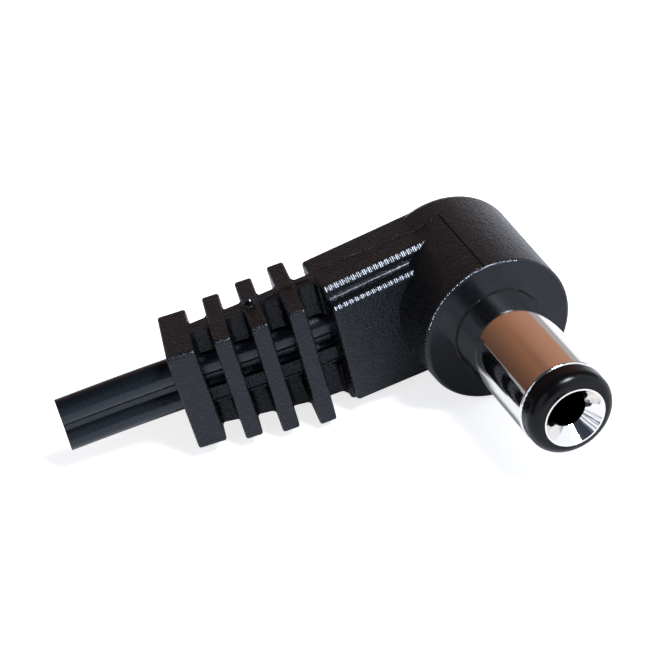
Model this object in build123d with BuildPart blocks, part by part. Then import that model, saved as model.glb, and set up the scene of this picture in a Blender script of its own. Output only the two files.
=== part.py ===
"""Moulded right-angle DC power plug, 5.5 mm barrel, with its flat two-core cable cut to a stub.

The barrel points along -Y and its axis is the Y axis. The front face of the round head lies in
the plane y = 0. The arm and the cable run out along -X. Z is up. Sizes are in millimetres.
"""

from build123d import *
from math import radians, sqrt, tan
import os

# Barrel
barrel_radius = 2.75
barrel_wall = 0.3
barrel_end = 8.45
barrel_lip = 0.15
barrel_root = 2.0
shoulder_radius = 2.95
shoulder_depth = 0.1
flange_radius = 3.4
flange_thickness = 0.5

# Insulator between the barrel and the centre contact
tip_radius = 2.7
nose_length = 1.28
tip_round = 0.68
tip_seam = 0.12

# Centre contact
bore_radius = 1.1
contact_wall = 0.3
mouth_radius = 1.92
mouth_lip = 0.1
flare_depth = 0.78
contact_back = 3.0
tail_width = 1.2
tail_thickness = 0.35
tail_end = 7.4

# Washer and lug behind the barrel
washer_thickness = 0.35
washer_radius = 3.1
lug_thickness = 0.4
lug_radius = 3.3
lug_bore = 1.75
tab_width = 1.3
tab_thickness = 0.35
tab_end = 7.4

# Head and arm of the overmould
head_front_radius = 4.75
head_back_radius = 4.91
head_length = 8.46
head_front_edge = 0.26
head_back_edge = 0.75
arm_reach = 8.57
arm_half_height = 4.33
arm_step_half_height = 3.54
arm_rise = 0.2
arm_step = 4.75
arm_front = 3.7
arm_inner_end = 1.2
arm_edge = 0.34
arm_step_cove = 0.14
arm_end_edge = 0.24
seam_width = 0.09
seam_depth = 0.1
seam_turn = 6.45
hole_bevel_width = 0.12
hole_bevel_depth = 0.08

# Strain relief
rib_count = 3
rib_gap_first = 1.18
rib_pitch = 2.22
rib_thickness = 1.08
collar_thickness = 1.78
rib_half_height = 4.55
rib_drop = 0.06
rib_height_taper = 0.105
rib_half_depth = 2.91
rib_depth_taper = 0.072
rib_corner = 0.26
rib_edge = 0.16
web_width = 1.02
web_bite = 0.12
web_bevel = 0.3
web_cove = 0.35
web_overlap = 0.1
web_sink = 0.04
web_back_overlap = 0.5
jacket_thickness = 0.1
jacket_top = 0.42
jacket_bottom = 1.3
gate_place = 3.95
gate_radius = 0.3
gate_depth = 0.14

# Cable
lobe_radius = 0.87
lobe_spacing = 1.94
bridge_thickness = 0.8
strand_radius = 0.12
strand_pitch = 0.22
core_clearance = 0.015
strip_end = 4.6
cable_height = 0.0
cable_depth = 6.35
cable_route = [
    (-8.5, 6.35, 0.0),
    (-12.9, 7.02, -0.06),
    (-17.6, 8.08, -0.22),
    (-21.2, 9.02, -0.62),
    (-25.6, 10.18, -1.21),
]
cut_distance = 25.64
cut_turn = 6.0

# Solder
solder_radius = 0.72

tip_front = barrel_end + tip_seam + nose_length
insulator_radius = barrel_radius - barrel_wall
contact_radius = bore_radius + contact_wall
core_offset = lobe_spacing / 2
core_radius = strand_pitch + strand_radius
washer_front = barrel_root
lug_front = washer_front + washer_thickness
lug_back = lug_front + lug_thickness
tail_face = -tail_thickness / 2
tab_face = -lug_radius
web_side = web_width / 2
web_inner = core_offset + lobe_radius - web_bite
jacket_side = lobe_radius + jacket_thickness
cove_middle = web_cove * (1 - sqrt(0.5))


def route_wire(start_x):
    """The cable's centre line from start_x to the cut end, as runs joined by tangent arcs."""
    points = [Vector(start_x, cable_depth, cable_height)] + [Vector(*p) for p in cable_route]
    radii = []
    for before, here, after in zip(points, points[1:], points[2:]):
        turn = radians((here - before).get_angle(after - here))
        shorter = min((here - before).length, (after - here).length)
        radii.append(0.45 * shorter / tan(turn / 2))
    with BuildLine() as route:
        FilletPolyline(*points, radius=radii)
    print("route radii", [round(r, 1) for r in radii], "length", round(route.wire().length, 2))
    return route.wire()


def route_plane(route, distance):
    """A plane across the route, with its x upward and its z along the cable away from the plug."""
    tangent = route.tangent_at(distance, position_mode=PositionMode.LENGTH)
    origin = route.position_at(distance, position_mode=PositionMode.LENGTH)
    upward = Vector(0, 0, 1) - tangent * tangent.Z
    return Plane(origin=origin, x_dir=upward, z_dir=tangent)


def web_outer(distance):
    """How far a web's outer face is from the cable's centre, at this distance from the arm's end.

    It lies level with the ribs, and with the arm where that is lower.
    """
    rib_level = rib_half_height - rib_drop - rib_height_taper * distance - rib_edge / 2
    return min(rib_level, arm_half_height - web_sink)


route = route_wire(-strip_end)
arm_face_distance = arm_reach - strip_end

# The cable is cut slightly askew
cut_plane = Plane(
    origin=(-cut_distance, cable_depth, cable_height),
    z_dir=Vector(-1, 0, 0).rotate(Axis.Z, -cut_turn),
)


# Barrel: a turned sleeve with a shoulder and a flange inside the head and a rounded front edge
with BuildPart() as outer_sleeve:
    with BuildSketch(Plane.XY):
        with BuildLine():
            Polyline(
                (insulator_radius, -barrel_end),
                (barrel_radius, -barrel_end),
                (barrel_radius, shoulder_depth),
                (shoulder_radius, shoulder_depth),
                (shoulder_radius, barrel_root - flange_thickness),
                (flange_radius, barrel_root - flange_thickness),
                (flange_radius, barrel_root),
                (insulator_radius, barrel_root),
                close=True,
            )
        make_face()
    revolve(axis=Axis.Y)
    fillet(outer_sleeve.edges().group_by(Axis.Y)[0].sort_by(SortBy.RADIUS)[-1], barrel_lip)

# Insulator: fills the sleeve and ends in the round black nose
with BuildPart() as tip_insulator:
    with BuildSketch(Plane.XY) as nose:
        with BuildLine():
            Polyline(
                (contact_radius, -tip_front),
                (tip_radius, -tip_front),
                (tip_radius, -barrel_end - tip_seam),
                (insulator_radius, -barrel_end - tip_seam),
                (insulator_radius, barrel_root),
                (contact_radius, barrel_root),
                close=True,
            )
        make_face()
        front_corner = nose.vertices().group_by(Axis.Y)[0].sort_by(Axis.X)[-1]
        fillet(front_corner, tip_round)
    revolve(axis=Axis.Y)
    with BuildSketch(Plane.XY):
        with BuildLine():
            Polyline(
                (0, -tip_front - mouth_lip),
                (mouth_radius, -tip_front - mouth_lip),
                (mouth_radius, -tip_front + mouth_lip),
                (contact_radius, -tip_front + flare_depth),
                (0, -tip_front + flare_depth),
                close=True,
            )
        make_face()
    revolve(axis=Axis.Y, mode=Mode.SUBTRACT)

# Centre contact: a tube whose mouth is flared open, with a flat solder tail behind
with BuildPart() as centre_contact:
    with BuildSketch(Plane.XY):
        with BuildLine():
            Polyline(
                (mouth_radius, -tip_front - mouth_lip),
                (mouth_radius, -tip_front + mouth_lip),
                (contact_radius, -tip_front + flare_depth),
                (contact_radius, contact_back),
                (0, contact_back),
                (0, lug_back),
                (bore_radius, lug_back),
                (bore_radius, -tip_front + flare_depth),
                (mouth_radius - mouth_lip, -tip_front - mouth_lip),
                close=True,
            )
        make_face()
    revolve(axis=Axis.Y)
    with BuildSketch(Plane.XZ.offset(-contact_back)):
        with Locations((0, core_offset)):
            Rectangle(tail_thickness, tail_width)
    extrude(amount=-(tail_end - contact_back))

# Washer: keeps the lug clear of the contact
with BuildPart() as rear_insulator:
    with BuildSketch(Plane.XZ.offset(-washer_front)):
        Circle(washer_radius)
        Circle(contact_radius, mode=Mode.SUBTRACT)
    extrude(amount=-washer_thickness)

# Lug: a stamped ring behind the washer whose tab is bent back along the arm's cable
with BuildPart() as sleeve_lug:
    with BuildSketch(Plane.XZ.offset(-lug_front)):
        Circle(lug_radius)
        Circle(lug_bore, mode=Mode.SUBTRACT)
    extrude(amount=-lug_thickness)
    with BuildSketch(Plane.XZ.offset(-lug_front)):
        with Locations((tab_face + tab_thickness / 2, -core_offset)):
            Rectangle(tab_thickness, tab_width)
    extrude(amount=-(tab_end - lug_front))


def route_start(height):
    """A plane across the start of the route, centred on the core at this height."""
    origin = (-strip_end, cable_depth, cable_height + height)
    return Plane(origin=origin, x_dir=(0, 0, 1), z_dir=(-1, 0, 0))


def conductor(height, contact_face):
    """Seven strands from the terminal's face, along the route, to the cut end of the cable."""
    with BuildPart() as strands:
        with BuildSketch(Plane(origin=route @ 0, x_dir=(0, 0, 1), z_dir=route % 0)):
            with Locations((height, 0)):
                Circle(strand_radius)
                with PolarLocations(strand_pitch, 6):
                    Circle(strand_radius)
        sweep(path=route)
        with BuildSketch(route_start(height)):
            Circle(strand_radius)
            with PolarLocations(strand_pitch, 6):
                Circle(strand_radius)
        extrude(amount=-(strip_end + contact_face))
        split(bisect_by=cut_plane, keep=Keep.BOTTOM)
    return strands


def bare_core_space(height, contact_face):
    """The round hole that a bare core lies in, from its terminal's face to the insulation."""
    with BuildPart() as space:
        with BuildSketch(route_start(height)):
            Circle(core_radius + core_clearance)
        extrude(amount=-(strip_end + contact_face))
    return space


centre_conductor = conductor(core_offset, tail_face)
sleeve_conductor = conductor(-core_offset, tab_face)
centre_core_space = bare_core_space(core_offset, tail_face)
sleeve_core_space = bare_core_space(-core_offset, tab_face)

# Cable: two round lobes joined by a thinner bridge, with a bore round each core
with BuildPart() as cable_insulation:
    with BuildSketch(Plane(origin=route @ 0, x_dir=(0, 0, 1), z_dir=route % 0)):
        Rectangle(lobe_spacing, bridge_thickness)
        with Locations((core_offset, 0), (-core_offset, 0)):
            Circle(lobe_radius)
        with Locations((core_offset, 0), (-core_offset, 0)):
            Circle(core_radius + core_clearance, mode=Mode.SUBTRACT)
    sweep(path=route)
    split(bisect_by=cut_plane, keep=Keep.BOTTOM)


def solder_joint(face_x, height, core_space):
    """Half a ball of solder on a terminal's face, round the end of its conductor."""
    with BuildPart() as joint:
        with Locations((face_x, cable_depth, height)):
            Sphere(solder_radius)
        split(bisect_by=Plane.YZ.offset(face_x), keep=Keep.BOTTOM)
        add(core_space.part, mode=Mode.SUBTRACT)
    return joint


centre_solder = solder_joint(tail_face, core_offset, centre_core_space)
sleeve_solder = solder_joint(tab_face, -core_offset, sleeve_core_space)

# Overmould: head, stepped arm and ladder strain relief in one moulding round all the above
with BuildPart() as overmould:
    with BuildSketch(Plane.XY) as head_profile:
        with BuildLine():
            Polyline(
                (0, 0),
                (head_front_radius, 0),
                (head_back_radius, head_length),
                (0, head_length),
                close=True,
            )
        make_face()
        outer_corners = head_profile.vertices().filter_by(lambda v: v.X > head_front_radius / 2)
        fillet(outer_corners.sort_by(Axis.Y)[0], head_front_edge)
        fillet(head_profile.vertices().sort_by(Axis.X)[-1], head_back_edge)
    revolve(axis=Axis.Y)

    # Arm: a block with a narrower block in front of it, both a little higher towards the head
    with BuildPart(mode=Mode.PRIVATE) as arm:
        for place, rise in ((arm_reach, 0), (arm_inner_end, arm_rise)):
            top = arm_half_height + rise
            step_top = arm_step_half_height + rise
            with BuildSketch(Plane.YZ.offset(-place)) as profile:
                with BuildLine():
                    Polyline(
                        (arm_front, -step_top),
                        (arm_step, -step_top),
                        (arm_step, -top),
                        (head_length, -top),
                        (head_length, top),
                        (arm_step, top),
                        (arm_step, step_top),
                        (arm_front, step_top),
                        close=True,
                    )
                make_face()
                inner_corners = profile.vertices().group_by(Axis.Y)[1].filter_by(
                    lambda v: abs(v.Z) < (top + step_top) / 2
                )
                outer_corners = profile.vertices() - inner_corners
                fillet(outer_corners, arm_edge)
                fillet(inner_corners, arm_step_cove)
        loft()
        fillet(arm.edges().group_by(Axis.X)[0], arm_end_edge)
    add(arm.part)

    # Strain relief: ribs and an end collar on an upper and a lower web
    half_rib = rib_thickness / 2
    rib_starts = [rib_gap_first + i * rib_pitch for i in range(rib_count)]
    collar_start = rib_gap_first + rib_count * rib_pitch
    plates = [(start, rib_thickness) for start in rib_starts] + [(collar_start, collar_thickness)]
    relief_length = collar_start + collar_thickness

    for start, thickness in plates:
        middle = start + thickness / 2
        half_height = rib_half_height - rib_height_taper * middle
        half_depth = rib_half_depth - rib_depth_taper * middle
        plane = route_plane(route, arm_face_distance + start)
        with BuildPart(mode=Mode.PRIVATE) as plate:
            with BuildSketch(plane):
                with Locations((-rib_drop, 0)):
                    RectangleRounded(2 * half_height, 2 * half_depth, rib_corner)
            extrude(amount=thickness)
            fillet(plate.faces().filter_by(GeomType.PLANE).sort_by_distance(plane.origin)[0].edges(),
                   rib_edge)
            far_origin = plane.origin + plane.z_dir * thickness
            fillet(plate.faces().filter_by(GeomType.PLANE).sort_by_distance(far_origin)[0].edges(),
                   rib_edge)
        add(plate.part)

    for side, bevel in ((1, web_bevel), (-1, 0.5 * web_sink)):
        for index in range(rib_count + 1):
            near = plates[index - 1][0] + half_rib if index else -web_back_overlap
            far = plates[index][0] + half_rib
            sections = []
            for distance in (near, far):
                plane = route_plane(route, arm_face_distance + distance)
                outer = web_outer(distance)
                with BuildSketch(plane, mode=Mode.PRIVATE) as section:
                    with BuildLine():
                        Polyline(
                            (side * outer, -web_side),
                            (side * (web_inner + bevel), -web_side),
                            (side * web_inner, bevel - web_side),
                            (side * web_inner, web_side - bevel),
                            (side * (web_inner + bevel), web_side),
                            (side * outer, web_side),
                            close=True,
                        )
                    make_face()
                sections.append(section.sketch)
            loft(sections=sections)

    # Jacket: the flat-sided strip that the moulding leaves on the lower lobe of the cable
    for index in range(rib_count + 1):
        near = plates[index - 1][0] + half_rib if index else -web_back_overlap
        far = plates[index][0] + half_rib
        sections = []
        for distance in (near, far):
            with BuildSketch(route_plane(route, arm_face_distance + distance),
                             mode=Mode.PRIVATE) as section:
                with Locations((-(jacket_top + jacket_bottom) / 2, 0)):
                    Rectangle(jacket_bottom - jacket_top, 2 * jacket_side)
            sections.append(section.sketch)
        loft(sections=sections)

    # Coves in the corners between the webs and the ribs' faces
    corners = [(0, 0, 1)]
    for start, thickness in plates:
        corners.append((start, 0, -1))
        corners.append((start, thickness, 1))
    for start, shift, toward in corners[:-1]:
        plane = route_plane(route, arm_face_distance + start)
        face_centre = plane.origin + plane.z_dir * shift
        high = web_outer(start + shift) - web_overlap / 2
        for side in (1, -1):
            low_end = side * (web_inner + web_bevel) if side > 0 else -high
            for depth_side in (1, -1):
                corner = face_centre + plane.y_dir * depth_side * web_side + plane.x_dir * low_end
                turn = -toward * depth_side
                with BuildSketch(Plane(origin=corner, x_dir=plane.z_dir * toward, z_dir=plane.x_dir)):
                    with BuildLine():
                        Polyline(
                            (0, turn * web_cove),
                            (-web_overlap, turn * web_cove),
                            (-web_overlap, -turn * web_overlap),
                            (web_cove, -turn * web_overlap),
                            (web_cove, 0),
                        )
                        ThreePointArc(
                            (web_cove, 0),
                            (cove_middle, turn * cove_middle),
                            (0, turn * web_cove),
                        )
                    make_face()
                extrude(amount=high - web_inner - web_bevel)

    # Mark of the gate on the middle rib
    gate_plane = route_plane(route, arm_face_distance + gate_place)
    gate_height = rib_half_height - rib_drop - rib_height_taper * gate_place
    gate_origin = gate_plane.origin + gate_plane.x_dir * gate_height
    with BuildSketch(Plane(origin=gate_origin, x_dir=gate_plane.z_dir, z_dir=(0, 0, 1))):
        Circle(gate_radius)
    extrude(amount=-gate_depth, mode=Mode.SUBTRACT)

    # Parting line of the mould, along the top and the bottom of the head
    head_draft = (head_back_radius - head_front_radius) / head_length
    seam_back_radius = head_front_radius + head_draft * seam_turn
    for side in (1, -1):
        with BuildSketch(Plane.YZ.offset(-seam_width / 2)):
            with BuildLine():
                Polyline(
                    (0, side * (head_front_radius - seam_depth)),
                    (seam_turn, side * (seam_back_radius - seam_depth)),
                    (seam_turn, side * (seam_back_radius + seam_depth)),
                    (0, side * (head_front_radius + seam_depth)),
                    close=True,
                )
            make_face()
        extrude(amount=seam_width, mode=Mode.SUBTRACT)

    # Bevel round the hole that the barrel comes out of
    with BuildSketch(Plane.XY):
        with BuildLine():
            Polyline(
                (barrel_radius, 0),
                (barrel_radius + hole_bevel_width, 0),
                (barrel_radius, hole_bevel_depth),
                close=True,
            )
        make_face()
    revolve(axis=Axis.Y, mode=Mode.SUBTRACT)

    # Space for the metal parts, the solder and the cable
    with BuildSketch(Plane.XZ):
        Circle(bore_radius)
    extrude(amount=-lug_back, mode=Mode.SUBTRACT)
    for inner in (outer_sleeve, tip_insulator, centre_contact, rear_insulator, sleeve_lug,
                  centre_core_space, sleeve_core_space, centre_solder, sleeve_solder):
        add(inner.part, mode=Mode.SUBTRACT)
    with BuildSketch(Plane(origin=route @ 0, x_dir=(0, 0, 1), z_dir=route % 0)):
        Rectangle(lobe_spacing, bridge_thickness)
        with Locations((core_offset, 0), (-core_offset, 0)):
            Circle(lobe_radius)
    sweep(path=route, mode=Mode.SUBTRACT)

overmould.part.label = "overmould"
outer_sleeve.part.label = "outer_sleeve"
tip_insulator.part.label = "tip_insulator"
centre_contact.part.label = "centre_contact"
rear_insulator.part.label = "rear_insulator"
sleeve_lug.part.label = "sleeve_lug"
cable_insulation.part.label = "cable_insulation"
centre_conductor.part.label = "centre_conductor"
sleeve_conductor.part.label = "sleeve_conductor"
centre_solder.part.label = "centre_solder"
sleeve_solder.part.label = "sleeve_solder"

os.makedirs("parts", exist_ok=True)
export_step(overmould.part, "parts/overmould.step")
export_step(outer_sleeve.part, "parts/outer_sleeve.step")
export_step(tip_insulator.part, "parts/tip_insulator.step")
export_step(centre_contact.part, "parts/centre_contact.step")
export_step(rear_insulator.part, "parts/rear_insulator.step")
export_step(sleeve_lug.part, "parts/sleeve_lug.step")
export_step(cable_insulation.part, "parts/cable_insulation.step")
export_step(centre_conductor.part, "parts/centre_conductor.step")
export_step(sleeve_conductor.part, "parts/sleeve_conductor.step")
export_step(centre_solder.part, "parts/centre_solder.step")
export_step(sleeve_solder.part, "parts/sleeve_solder.step")
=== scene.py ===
import math

import bpy
from mathutils import Matrix, Vector


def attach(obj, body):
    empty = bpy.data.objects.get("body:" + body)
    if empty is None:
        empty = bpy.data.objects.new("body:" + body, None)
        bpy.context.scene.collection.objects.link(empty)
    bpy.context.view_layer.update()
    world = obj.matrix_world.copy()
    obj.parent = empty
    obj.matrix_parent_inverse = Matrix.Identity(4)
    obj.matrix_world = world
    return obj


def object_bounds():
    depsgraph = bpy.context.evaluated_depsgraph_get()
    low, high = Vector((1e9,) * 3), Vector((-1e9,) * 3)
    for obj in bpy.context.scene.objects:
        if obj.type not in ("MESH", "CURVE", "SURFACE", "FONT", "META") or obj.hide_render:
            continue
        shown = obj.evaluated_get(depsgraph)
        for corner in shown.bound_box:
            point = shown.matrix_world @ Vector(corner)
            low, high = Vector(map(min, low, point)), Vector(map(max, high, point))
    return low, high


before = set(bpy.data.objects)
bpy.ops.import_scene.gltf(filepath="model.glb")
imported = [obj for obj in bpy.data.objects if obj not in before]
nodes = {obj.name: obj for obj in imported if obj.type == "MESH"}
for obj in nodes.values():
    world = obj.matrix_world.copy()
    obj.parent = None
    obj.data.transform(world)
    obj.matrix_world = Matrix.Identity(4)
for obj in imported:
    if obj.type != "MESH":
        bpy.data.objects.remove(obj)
cad_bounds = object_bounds()

MM = 0.001

# Where the camera of the photograph stood, found by fitting the plug's measured circles and edges.
CAMERA_PLACE = Vector((-38.855, -115.389, 94.819)) * MM
CAMERA_RIGHT = Vector((0.8981, -0.3875, -0.2080))
CAMERA_DOWN = Vector((-0.3946, -0.5012, -0.7701))
CAMERA_AHEAD = Vector((0.1942, 0.7737, -0.6031))
SENSOR_MM = 36.0
FOCAL_PIXELS = 2583.0
PICTURE_PIXELS = 665.0

FLOOR_SIDE = 2.4

# The window lamp: where it stands as seen from the plug, in metres, its side and its light.
WINDOW_WAY = (0.32, -0.46, 0.82)
WINDOW_DISTANCE = 0.40
WINDOW_SIDE = 0.12
WINDOW_WATTS = 2.3
WINDOW_COLOUR = (0.88, 0.93, 1.0)

# The way a face turns that mirrors the window lamp to the camera, and the cosines between which a face
# counts as turned that way.
GLINT_WAY = (0.062, -0.666, 0.744)
GLINT_START = 0.970
GLINT_FULL = 0.985

# How far the eye's and the mirrors' white table is lifted above what the lights make of it.
TABLE_LIFT = 0.75
TABLE_LIFT_IN_MIRRORS = 0.1

# Sizes of the surfaces' grain.
PIT_SIZE = 0.15 * MM
WAVE_SIZE = 0.9 * MM
GRAIN_DEPTH = 0.085 * MM
GROUND_DEPTH_START = 0.02 * MM
GROUND_DEPTH_END = 0.05 * MM
TURNING_STEP = 0.06 * MM
TURNING_DEPTH = 0.004 * MM
HAZE_SIZE = 1.4 * MM
SWELL_SIZE = 0.7 * MM
SWELL_DEPTH = 0.02 * MM
DRAW_LINES = (6.0 * MM, 0.25 * MM, 0.12 * MM)
CABLE_SKIN_SIZE = 0.12 * MM
CABLE_SKIN_DEPTH = 0.02 * MM
FIBRE_SIZE = 0.2 * MM
FIBRE_DEPTH = 0.02 * MM
OXIDE_SIZE = 0.3 * MM
FROST_SIZE = 0.15 * MM
FROST_DEPTH = 0.01 * MM

# Edges that bend by more than this angle, in radians, stay sharp on the added pieces.
SMOOTH_ANGLE = 0.6

# The ragged ridge of the mould's joint: the length of its steps and how deep it is rooted in the skin.
RIDGE_STEP = 0.09 * MM
RIDGE_ROOT = 0.06 * MM
RIDGE_UNEVEN = 0.45

# The teeth along the edges: the cuts in a tooth, how deep it is rooted, how uneven it is, where its ends
# start, and how far the ends of a short one are lowered.
TOOTH_CUTS = 4
COMB_ROOT = 0.09 * MM
COMB_UNEVEN = 0.0019 * MM
COMB_END = 0.4
SHORT_TOOTH_DROP = 0.6

# The teeth on the rim of the head stand in short straight rows round the barrel's axis. The radius, the
# depth and the size of the teeth are in millimetres, the turns in degrees.
RIM_COMB_RADIUS = 4.70
RIM_COMB_DEPTH = 0.065
RIM_COMB_FIRST = 154.0
RIM_COMB_TURN = 13.0
RIM_COMB_PARTS = (0.04, 0.96)
RIM_COMBS = 7
RIM_TOOTH = (0.05, 0.15, 0.02)
RIM_COMB_SEED = 31

# The torn ring of the gate, with the flake that stands at its right.
GATE_PLACE = (-12.76, 6.80, 4.075)
GATE_RING_RADIUS = 0.33 * MM
GATE_RING_WIRE = 0.055 * MM
GATE_RING_UNEVEN = 0.012 * MM
GATE_RING_SEED = 11
GATE_FLAKE_START = 0.6
GATE_FLAKE_SIDE = -0.1 * MM
GATE_FLAKE_SHIFT = (0.03 * MM, 0.02 * MM, 0.10 * MM)


def linear(hex_colour):
    """The linear colour of an sRGB hex value."""
    parts = [int(hex_colour[i:i + 2], 16) / 255 for i in (1, 3, 5)]
    return tuple(c / 12.92 if c <= 0.04045 else ((c + 0.055) / 1.055) ** 2.4 for c in parts) + (1.0,)


def add(tree, kind, links=(), **settings):
    """Adds one node.

    Settings name attributes or, as in_NAME or in_NUMBER, input values. Links are (input, output) pairs.
    """
    node = tree.nodes.new(kind)
    for key, value in settings.items():
        if key.startswith("in_"):
            name = key[3:]
            node.inputs[int(name) if name.isdigit() else name.replace("_", " ")].default_value = value
        else:
            setattr(node, key, value)
    for socket, source in links:
        tree.links.new(source, node.inputs[socket])
    return node


def product(tree, first, second):
    """A node that multiplies what two others give."""
    return add(tree, "ShaderNodeMath", [(0, first.outputs[0]), (1, second.outputs[0])], operation="MULTIPLY")


def rise(tree, source, start, end, low=0.0, high=1.0):
    """A node that goes from low to high while its source goes from start to end."""
    return add(tree, "ShaderNodeMapRange", [(0, source)], in_1=start, in_2=end, in_3=low, in_4=high)


def noise(tree, place, size, detail, roughness=0.5):
    """Noise with features of one size, laid out in the object's own coordinates."""
    return add(tree, "ShaderNodeTexNoise", [("Vector", place.outputs["Object"])],
               in_Scale=1 / size, in_Detail=detail, in_Roughness=roughness)


def emboss(tree, height, strength, depth):
    """A bump that raises the surface by the given height."""
    return add(tree, "ShaderNodeBump", [("Height", height)], in_Strength=strength, in_Distance=depth)


def new_material(name):
    """A material with an empty tree and its output node."""
    material = bpy.data.materials.new(name)
    material.use_nodes = True
    tree = material.node_tree
    tree.nodes.clear()
    return material, tree, tree.nodes.new("ShaderNodeOutputMaterial")


def finish_material(tree, output, shader):
    tree.links.new(shader.outputs[0], output.inputs["Surface"])


def moulded_pvc():
    """Flexible PVC, injection moulded in a spark-eroded cavity: a matt black skin with an even fine grain.

    The front face was ground in the mould, so it is smooth and glossy. The mould's corners are worn, so the
    rounded edges are smooth as well, and they glint where they face between the window and the eye.
    """
    material, tree, output = new_material("pvc_moulded_spark_eroded")
    place = add(tree, "ShaderNodeTexCoord")
    axes = add(tree, "ShaderNodeSeparateXYZ", [(0, place.outputs["Object"])])
    # 1 on the ground front face, which is the plane y = 0, and 0 on the grained skin behind it.
    ground = rise(tree, axes.outputs["Y"], GROUND_DEPTH_START, GROUND_DEPTH_END, 1.0, 0.0)
    # 1 where the skin faces halfway between the window and the eye, which only rounded edges do.
    skin = add(tree, "ShaderNodeNewGeometry")
    toward = add(tree, "ShaderNodeVectorMath", [(0, skin.outputs["True Normal"])], operation="DOT_PRODUCT",
                 in_1=GLINT_WAY)
    worn = rise(tree, toward.outputs["Value"], GLINT_START, GLINT_FULL)
    smooth = add(tree, "ShaderNodeMath", [(0, ground.outputs[0]), (1, worn.outputs[0])], operation="MAXIMUM")
    # Spark erosion leaves small pits, and the skin waves a little over them.
    pits = noise(tree, place, PIT_SIZE, 3.0, 0.6)
    waves = noise(tree, place, WAVE_SIZE, 2.0)
    relief = add(tree, "ShaderNodeMath", [(0, waves.outputs["Fac"]), (2, pits.outputs["Fac"])],
                 operation="MULTIPLY_ADD", in_1=0.5)
    strength = rise(tree, smooth.outputs[0], 0.0, 1.0, 1.0, 0.03)
    bump = add(tree, "ShaderNodeBump", [("Height", relief.outputs[0]), ("Strength", strength.outputs[0])],
               in_Distance=GRAIN_DEPTH)
    rough = rise(tree, pits.outputs["Fac"], 0.3, 0.7, 0.15, 0.32)
    rough_or_ground = add(tree, "ShaderNodeMix", [(0, smooth.outputs[0]), (2, rough.outputs[0])], in_3=0.18)
    tint = add(tree, "ShaderNodeValToRGB", [(0, waves.outputs["Fac"])])
    tint.color_ramp.elements[0].position = 0.35
    tint.color_ramp.elements[0].color = linear("#08090b")
    tint.color_ramp.elements[1].position = 0.7
    tint.color_ramp.elements[1].color = linear("#0c0e11")
    shader = add(tree, "ShaderNodeBsdfPrincipled",
                 [("Base Color", tint.outputs["Color"]), ("Roughness", rough_or_ground.outputs[0]),
                  ("Normal", bump.outputs[0])], in_IOR=1.53, in_Specular_IOR_Level=0.34,
                 in_Specular_Tint=(0.84, 0.88, 1.0, 1.0))
    finish_material(tree, output, shader)
    return material


def plated_nickel():
    """Bright nickel over turned brass: a mirror with a warm grey cast and faint lines round the axis."""
    material, tree, output = new_material("nickel_plated_brass_polished")
    place = add(tree, "ShaderNodeTexCoord")
    # Real turning lines are about 0.02 mm apart, too fine to show, so these are wider.
    lines = add(tree, "ShaderNodeMapping", [(0, place.outputs["Object"])],
                in_Scale=(200.0, 1 / TURNING_STEP, 200.0))
    turning = add(tree, "ShaderNodeTexNoise", [("Vector", lines.outputs[0])], in_Scale=1.0, in_Detail=1.0)
    haze = noise(tree, place, HAZE_SIZE, 3.0)
    rough = rise(tree, haze.outputs["Fac"], 0.3, 0.75, 0.03, 0.10)
    bump = emboss(tree, turning.outputs["Fac"], 0.05, TURNING_DEPTH)
    shader = add(tree, "ShaderNodeBsdfPrincipled",
                 [("Roughness", rough.outputs[0]), ("Normal", bump.outputs[0])], in_Metallic=1.0)
    shader.inputs["Base Color"].default_value = linear("#f0ece6")
    finish_material(tree, output, shader)
    return material


def glossy_nylon():
    """Black nylon, injection moulded in a polished cavity: a deep black with a clear soft-edged gloss."""
    material, tree, output = new_material("nylon_moulded_glossy")
    place = add(tree, "ShaderNodeTexCoord")
    swell = noise(tree, place, SWELL_SIZE, 2.0)
    rough = rise(tree, swell.outputs["Fac"], 0.3, 0.7, 0.16, 0.26)
    bump = emboss(tree, swell.outputs["Fac"], 0.12, SWELL_DEPTH)
    shader = add(tree, "ShaderNodeBsdfPrincipled",
                 [("Roughness", rough.outputs[0]), ("Normal", bump.outputs[0])], in_IOR=1.53,
                 in_Specular_IOR_Level=0.18)
    shader.inputs["Base Color"].default_value = linear("#08080a")
    finish_material(tree, output, shader)
    return material


def extruded_pvc():
    """Cable PVC, extruded: satin black, with faint draw lines along the cable."""
    material, tree, output = new_material("pvc_extruded_satin")
    place = add(tree, "ShaderNodeTexCoord")
    # Fine draw lines run along the cable, about the X axis, so the noise is stretched along it.
    along = add(tree, "ShaderNodeMapping", [(0, place.outputs["Object"])],
                in_Scale=[1 / size for size in DRAW_LINES])
    draw = add(tree, "ShaderNodeTexNoise", [("Vector", along.outputs[0])], in_Scale=1.0, in_Detail=3.0)
    skin = noise(tree, place, CABLE_SKIN_SIZE, 2.0)
    relief = add(tree, "ShaderNodeMath", [(0, draw.outputs["Fac"]), (1, skin.outputs["Fac"])],
                 operation="ADD")
    bump = emboss(tree, relief.outputs[0], 0.25, CABLE_SKIN_DEPTH)
    rough = rise(tree, skin.outputs["Fac"], 0.3, 0.7, 0.22, 0.32)
    shader = add(tree, "ShaderNodeBsdfPrincipled",
                 [("Roughness", rough.outputs[0]), ("Normal", bump.outputs[0])], in_IOR=1.53,
                 in_Specular_IOR_Level=0.5, in_Specular_Tint=(0.80, 0.90, 1.0, 1.0))
    shader.inputs["Base Color"].default_value = linear("#0c0f14")
    finish_material(tree, output, shader)
    return material


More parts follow.
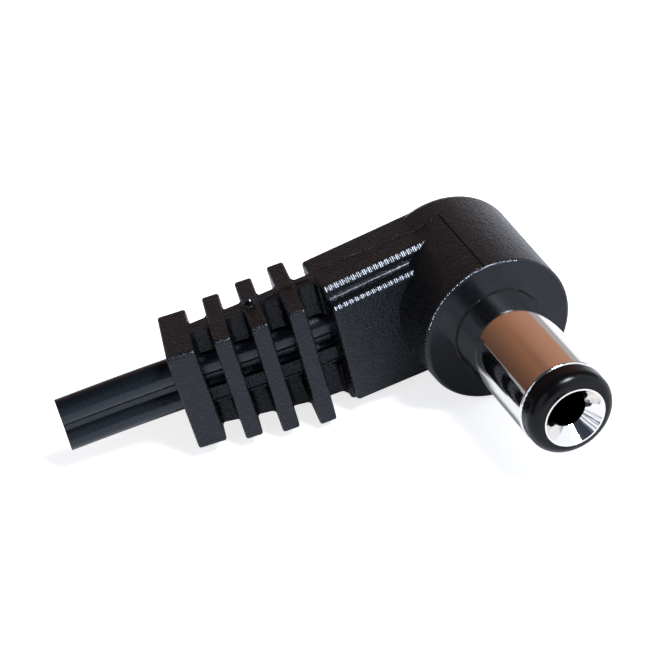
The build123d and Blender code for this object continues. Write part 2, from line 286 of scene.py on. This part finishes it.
def vulcanised_fibre():
    """Vulcanised fibre sheet, punched: a dull red-brown card with short flecks of fibre."""
    material, tree, output = new_material("fibre_vulcanised_punched")
    place = add(tree, "ShaderNodeTexCoord")
    flecks = noise(tree, place, FIBRE_SIZE, 4.0)
    tint = add(tree, "ShaderNodeValToRGB", [(0, flecks.outputs["Fac"])])
    tint.color_ramp.elements[0].color = linear("#4a241a")
    tint.color_ramp.elements[1].color = linear("#7a4430")
    bump = emboss(tree, flecks.outputs["Fac"], 0.3, FIBRE_DEPTH)
    shader = add(tree, "ShaderNodeBsdfPrincipled",
                 [("Base Color", tint.outputs["Color"]), ("Normal", bump.outputs[0])], in_Roughness=0.7)
    finish_material(tree, output, shader)
    return material


def drawn_copper():
    """Bare copper wire, drawn and annealed: a warm metal, dulled a little where it has oxidised."""
    material, tree, output = new_material("copper_drawn_annealed")
    place = add(tree, "ShaderNodeTexCoord")
    oxide = noise(tree, place, OXIDE_SIZE, 3.0)
    tint = add(tree, "ShaderNodeValToRGB", [(0, oxide.outputs["Fac"])])
    tint.color_ramp.elements[0].color = linear("#a85f3c")
    tint.color_ramp.elements[1].color = linear("#d9895f")
    rough = rise(tree, oxide.outputs["Fac"], 0.0, 1.0, 0.25, 0.4)
    shader = add(tree, "ShaderNodeBsdfPrincipled",
                 [("Base Color", tint.outputs["Color"]), ("Roughness", rough.outputs[0])], in_Metallic=1.0)
    finish_material(tree, output, shader)
    return material


def set_solder():
    """Tin solder, set in air: a pale grey metal with a slightly frosted skin."""
    material, tree, output = new_material("solder_tin_set")
    place = add(tree, "ShaderNodeTexCoord")
    frost = noise(tree, place, FROST_SIZE, 3.0)
    rough = rise(tree, frost.outputs["Fac"], 0.0, 1.0, 0.22, 0.42)
    bump = emboss(tree, frost.outputs["Fac"], 0.3, FROST_DEPTH)
    shader = add(tree, "ShaderNodeBsdfPrincipled",
                 [("Roughness", rough.outputs[0]), ("Normal", bump.outputs[0])], in_Metallic=1.0)
    shader.inputs["Base Color"].default_value = linear("#b9bbbd")
    finish_material(tree, output, shader)
    return material


def dress(material, *names):
    """Gives CAD nodes a finished material through their material slots."""
    for name in names:
        for holder in nodes[name].material_slots:
            holder.material = material


pvc = moulded_pvc()
nickel = plated_nickel()
dress(pvc, "overmould")
dress(nickel, "outer_sleeve", "centre_contact", "sleeve_lug")
dress(glossy_nylon(), "tip_insulator")
dress(vulcanised_fibre(), "rear_insulator")
dress(extruded_pvc(), "cable_insulation")
dress(drawn_copper(), "centre_conductor", "sleeve_conductor")
dress(set_solder(), "centre_solder", "sleeve_solder")


def choose(piece, test):
    """Selects, in edit mode, the vertices of a piece that pass the test."""
    bpy.ops.object.mode_set(mode="OBJECT")
    mesh = piece.data
    for group in (mesh.polygons, mesh.edges, mesh.vertices):
        group.foreach_set("select", [False] * len(group))
    mesh.vertices.foreach_set("select", [test(vertex.co) for vertex in mesh.vertices])
    bpy.ops.object.mode_set(mode="EDIT")
    bpy.ops.mesh.select_mode(type="VERT")


def finish_piece(piece, material):
    """Ends edit mode with the normals outwards and fixes the piece to the plug."""
    bpy.ops.mesh.select_all(action="SELECT")
    bpy.ops.mesh.normals_make_consistent(inside=False)
    bpy.ops.object.mode_set(mode="OBJECT")
    bpy.ops.object.transform_apply(location=True, rotation=True, scale=True)
    bpy.ops.object.shade_smooth_by_angle(angle=SMOOTH_ANGLE)
    piece.data.materials.append(material)
    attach(piece, "root")


def parting_ridge(name, start, end, width, height, seed):
    """A thin ragged ridge that the joint of the mould's halves leaves on the skin, from start to end."""
    start = Vector(start) * MM
    end = Vector(end) * MM
    way = end - start
    cuts = round(way.length / RIDGE_STEP)
    bpy.ops.object.select_all(action="DESELECT")
    bpy.ops.mesh.primitive_grid_add(x_subdivisions=cuts, y_subdivisions=2, size=1.0)
    ridge = bpy.context.object
    ridge.name = name
    ridge.scale = (way.length, width, 1.0)
    bpy.ops.object.transform_apply(location=False, rotation=False, scale=True)
    bpy.ops.object.mode_set(mode="EDIT")
    bpy.ops.mesh.select_all(action="SELECT")
    bpy.ops.mesh.extrude_region_move(TRANSFORM_OT_translate={"value": (0, 0, -RIDGE_ROOT)})
    choose(ridge, lambda place: place.z > -0.5 * RIDGE_ROOT and abs(place.y) < 0.25 * width)
    bpy.ops.transform.translate(value=(0, 0, height))
    bpy.ops.transform.vertex_random(offset=RIDGE_UNEVEN * height, uniform=1.0, seed=seed)
    ridge.location = (start + end) / 2
    ridge.rotation_euler = way.to_track_quat("X", "Z").to_euler()
    finish_piece(ridge, pvc)


def edge_comb(name, start, end, width, pitch, depth, seed):
    """A row of fine flat-topped teeth along a rounded edge, as the spark-cut corner of the mould leaves them.

    Their tops face halfway between the window and the eye, so they glint one by one.
    """
    start = Vector(start) * MM
    end = Vector(end) * MM
    way = end - start
    cuts = TOOTH_CUTS * round(way.length / pitch)
    step = way.length / cuts

    def is_top(place):
        return place.z > -0.5 * COMB_ROOT

    def cut_number(place):
        return round(place.x / step) + cuts // 2

    bpy.ops.object.select_all(action="DESELECT")
    bpy.ops.mesh.primitive_grid_add(x_subdivisions=cuts, y_subdivisions=3, size=1.0)
    comb = bpy.context.object
    comb.name = name
    comb.scale = (way.length, width, 1.0)
    bpy.ops.object.transform_apply(location=False, rotation=False, scale=True)
    bpy.ops.object.mode_set(mode="EDIT")
    bpy.ops.mesh.select_all(action="SELECT")
    bpy.ops.mesh.extrude_region_move(TRANSFORM_OT_translate={"value": (0, 0, -COMB_ROOT)})
    choose(comb, lambda place: is_top(place) and cut_number(place) % TOOTH_CUTS == 0)
    bpy.ops.transform.translate(value=(0, 0, -depth))
    # The tops lean so far along the edge that they mirror the window.
    along = way.normalized()
    facing = Vector(GLINT_WAY)
    across = facing - along * along.dot(facing)
    lean = step * along.dot(facing) / across.length
    facing = across.normalized()
    for part_of_tooth, lift in ((1, lean), (3, -lean)):
        choose(comb, lambda place: is_top(place) and cut_number(place) % TOOTH_CUTS == part_of_tooth)
        bpy.ops.transform.translate(value=(0, 0, lift))
    # Every third tooth, the second of each three, is a little shorter than its neighbours.
    choose(comb, lambda place: is_top(place) and abs(place.y) > COMB_END * width
           and cut_number(place) % (3 * TOOTH_CUTS) in (TOOTH_CUTS + 1, TOOTH_CUTS + 2, TOOTH_CUTS + 3))
    bpy.ops.transform.translate(value=(0, 0, -SHORT_TOOTH_DROP * depth))
    choose(comb, is_top)
    bpy.ops.transform.vertex_random(offset=COMB_UNEVEN, uniform=1.0, seed=seed)
    comb.location = (start + end) / 2
    comb.rotation_euler = Matrix((along, facing.cross(along), facing)).transposed().to_euler()
    finish_piece(comb, pvc)


def torn_gate():
    """The ring of torn plastic round the gate's pit, raised at its right."""
    bpy.ops.object.select_all(action="DESELECT")
    bpy.ops.mesh.primitive_torus_add(location=(0, 0, 0), major_radius=GATE_RING_RADIUS,
                                     minor_radius=GATE_RING_WIRE, major_segments=28, minor_segments=10)
    ring = bpy.context.object
    ring.name = "gate_ring"
    bpy.ops.object.mode_set(mode="EDIT")
    bpy.ops.mesh.select_all(action="SELECT")
    bpy.ops.transform.vertex_random(offset=GATE_RING_UNEVEN, uniform=1.0, seed=GATE_RING_SEED)
    choose(ring, lambda place: place.x > GATE_FLAKE_START * GATE_RING_RADIUS and place.z > 0
           and place.y > GATE_FLAKE_SIDE)
    bpy.ops.transform.translate(value=GATE_FLAKE_SHIFT)
    ring.location = Vector(GATE_PLACE) * MM
    finish_piece(ring, pvc)


# Each row is a name, the start and end, the width and height, all in millimetres, and a seed. The places
# are read off the photograph through the fitted camera.
for name, start, end, width, height, seed in (
        ("parting_ridge_arm", (-8.40, 6.98, 4.335), (-1.96, 6.38, 4.507), 0.09, 0.018, 3),
        ("parting_ridge_spine", (-9.70, 6.62, 4.272), (-8.50, 6.60, 4.290), 0.08, 0.02, 5),
        ("parting_ridge_rib", (-10.86, 6.66, 4.262), (-9.80, 6.62, 4.373), 0.08, 0.02, 7),
        ("parting_ridge_gap", (-12.10, 6.70, 4.073), (-10.86, 6.66, 4.188), 0.08, 0.02, 9),
        ("parting_ridge_head_side", (-1.90, 6.38, 4.500), (-1.00, 6.30, 4.782), 0.08, 0.025, 13),
        ("parting_ridge_head_top", (-1.00, 6.30, 4.782), (-0.10, 6.22, 4.866), 0.08, 0.014, 15)):
    parting_ridge(name, start, end, width * MM, height * MM, seed)

# Here each row has the teeth's width, pitch and depth in millimetres before the seed.
for name, start, end, width, pitch, depth, seed in (
        ("edge_comb_upper", (-8.45, 4.84, 4.255), (-1.35, 4.84, 4.448), 0.33, 0.125, 0.03, 21),
        ("edge_comb_lower", (-8.45, 3.79, 3.465), (-2.85, 3.79, 3.617), 0.25, 0.125, 0.03, 23),
        ("edge_comb_step", (-8.45, 4.695, 3.600), (-2.50, 4.695, 3.762), 0.07, 0.45, 0.02, 25),
        ("gate_flake", (-12.62, 6.98, 4.19), (-12.30, 6.92, 4.19), 0.13, 0.16, 0.03, 27)):
    edge_comb(name, start, end, width * MM, pitch * MM, depth * MM, seed)
for number in range(RIM_COMBS):
    ends = [math.radians(RIM_COMB_FIRST - RIM_COMB_TURN * (number + part)) for part in RIM_COMB_PARTS]
    first, last = [(RIM_COMB_RADIUS * math.cos(turn), RIM_COMB_DEPTH, RIM_COMB_RADIUS * math.sin(turn))
                   for turn in ends]
    edge_comb(f"rim_comb_{number}", first, last, *[size * MM for size in RIM_TOOTH], RIM_COMB_SEED + number)
torn_gate()


def make_floor():
    """A plain white table. The eye sees it lifted to pure white; it keeps the plug's soft shadow."""
    bpy.ops.object.select_all(action="DESELECT")
    bpy.ops.mesh.primitive_plane_add(size=FLOOR_SIDE, location=(0, 0, cad_bounds[0].z))
    floor = bpy.context.object
    floor.name = "floor"
    material, tree, output = new_material("paper_white_matt")
    path = add(tree, "ShaderNodeLightPath")
    # Mirrors see a little of the lift too.
    seen = add(tree, "ShaderNodeMath",
               [(0, path.outputs["Is Glossy Ray"]), (2, path.outputs["Is Camera Ray"])],
               operation="MULTIPLY_ADD", in_1=TABLE_LIFT_IN_MIRRORS)
    lift = add(tree, "ShaderNodeMath", [(0, seen.outputs[0])], operation="MULTIPLY", in_1=TABLE_LIFT)
    paper = add(tree, "ShaderNodeBsdfDiffuse")
    paper.inputs["Color"].default_value = linear("#e8e8ea")
    glow = add(tree, "ShaderNodeEmission", [("Strength", lift.outputs[0])])
    both = add(tree, "ShaderNodeAddShader", [(0, paper.outputs[0]), (1, glow.outputs[0])])
    finish_material(tree, output, both)
    floor.data.materials.append(material)


def make_world():
    """Plain studio surroundings: white to the eye, a cool soft light in front, a warm brown wall behind."""
    world = bpy.data.worlds.new("studio")
    bpy.context.scene.world = world
    world.use_nodes = True
    tree = world.node_tree
    tree.nodes.clear()
    output = tree.nodes.new("ShaderNodeOutputWorld")
    way = add(tree, "ShaderNodeTexCoord")
    axes = add(tree, "ShaderNodeSeparateXYZ", [(0, way.outputs["Generated"])])
    grainy = add(tree, "ShaderNodeTexNoise", [("Vector", way.outputs["Generated"])],
                 in_Scale=14.0, in_Detail=3.0)
    ragged = add(tree, "ShaderNodeMath", [(0, grainy.outputs["Fac"]), (2, axes.outputs["Z"])],
                 operation="MULTIPLY_ADD", in_1=0.10)
    behind = rise(tree, axes.outputs["Y"], 0.35, 0.45)
    above = rise(tree, ragged.outputs[0], 0.245, 0.255)
    below = rise(tree, axes.outputs["Z"], 0.74, 0.66)
    high_enough = product(tree, above, below)
    wall = product(tree, behind, high_enough)
    # The wall is lit from the right, so it is darker towards the left.
    across = rise(tree, axes.outputs["X"], -0.7, 0.7)
    brown = add(tree, "ShaderNodeValToRGB", [(0, across.outputs[0])])
    brown.color_ramp.elements[0].color = (0.085, 0.046, 0.034, 1.0)
    brown.color_ramp.elements[1].color = (0.50, 0.27, 0.19, 1.0)
    middle = brown.color_ramp.elements.new(0.5)
    middle.color = (0.31, 0.145, 0.085, 1.0)
    # Apart from the wall the room is light near the table's edge behind the plug and dim above and in front.
    low = rise(tree, axes.outputs["Z"], 0.40, 0.15)
    back = rise(tree, axes.outputs["Y"], -0.2, 0.5)
    pale = product(tree, low, back)
    # A bright wall stands at the right and in front, and the rest of the room is dim.
    right = rise(tree, axes.outputs["X"], 0.02, 0.20)
    front = rise(tree, axes.outputs["Y"], 0.10, -0.10)
    not_high = rise(tree, axes.outputs["Z"], 0.78, 0.72)
    at_right = product(tree, right, front)
    # A second, smaller one stands at the left, streaky as a glazed door is.
    left = rise(tree, axes.outputs["X"], -0.44, -0.50)
    low_front = rise(tree, axes.outputs["Y"], -0.15, -0.25)
    streaks = rise(tree, grainy.outputs["Fac"], 0.42, 0.50)
    at_left = product(tree, left, low_front)
    door = product(tree, at_left, streaks)
    either = add(tree, "ShaderNodeMath", [(0, at_right.outputs[0]), (1, door.outputs[0])],
                 operation="MAXIMUM")
    bright = product(tree, either, not_high)
    dim_or_pale = add(tree, "ShaderNodeMix", [(0, pale.outputs[0])],
                      data_type="RGBA", in_6=(0.04, 0.05, 0.07, 1.0), in_7=(0.45, 0.44, 0.46, 1.0))
    rest = add(tree, "ShaderNodeMix", [(0, bright.outputs[0]), (6, dim_or_pale.outputs[2])],
               data_type="RGBA", in_7=(1.06, 1.14, 1.30, 1.0))
    room = add(tree, "ShaderNodeMix",
               [(0, wall.outputs[0]), (6, rest.outputs[2]), (7, brown.outputs["Color"])], data_type="RGBA")
    path = add(tree, "ShaderNodeLightPath")
    seen = add(tree, "ShaderNodeMix", [(0, path.outputs["Is Camera Ray"]), (6, room.outputs[2])],
               data_type="RGBA", in_7=(1.0, 1.0, 1.0, 1.0))
    light = add(tree, "ShaderNodeBackground", [(0, seen.outputs[2])], in_1=1.0)
    tree.links.new(light.outputs[0], output.inputs["Surface"])


def make_window():
    """A square lamp in front and above at the right, small and strong, which makes the glints."""
    lamp = bpy.data.lights.new("window", "AREA")
    lamp.shape = "RECTANGLE"
    lamp.size = WINDOW_SIDE
    lamp.size_y = WINDOW_SIDE
    lamp.energy = WINDOW_WATTS
    lamp.color = WINDOW_COLOUR
    holder = bpy.data.objects.new("window", lamp)
    bpy.context.scene.collection.objects.link(holder)
    holder.location = Vector(WINDOW_WAY).normalized() * WINDOW_DISTANCE
    holder.rotation_euler = (-holder.location).to_track_quat("-Z", "Y").to_euler()


def make_camera():
    camera = bpy.data.objects.new("camera", bpy.data.cameras.new("camera"))
    bpy.context.scene.collection.objects.link(camera)
    camera.data.sensor_width = SENSOR_MM
    camera.data.lens = FOCAL_PIXELS * SENSOR_MM / PICTURE_PIXELS
    camera.data.clip_start = 1 * MM
    camera.data.clip_end = 5.0
    turn = Matrix((CAMERA_RIGHT, -CAMERA_DOWN, -CAMERA_AHEAD)).transposed()
    camera.matrix_world = Matrix.Translation(CAMERA_PLACE) @ turn.to_4x4()
    bpy.context.scene.camera = camera


make_floor()
make_world()
make_window()
make_camera()
bpy.context.scene.view_settings.view_transform = "Standard"
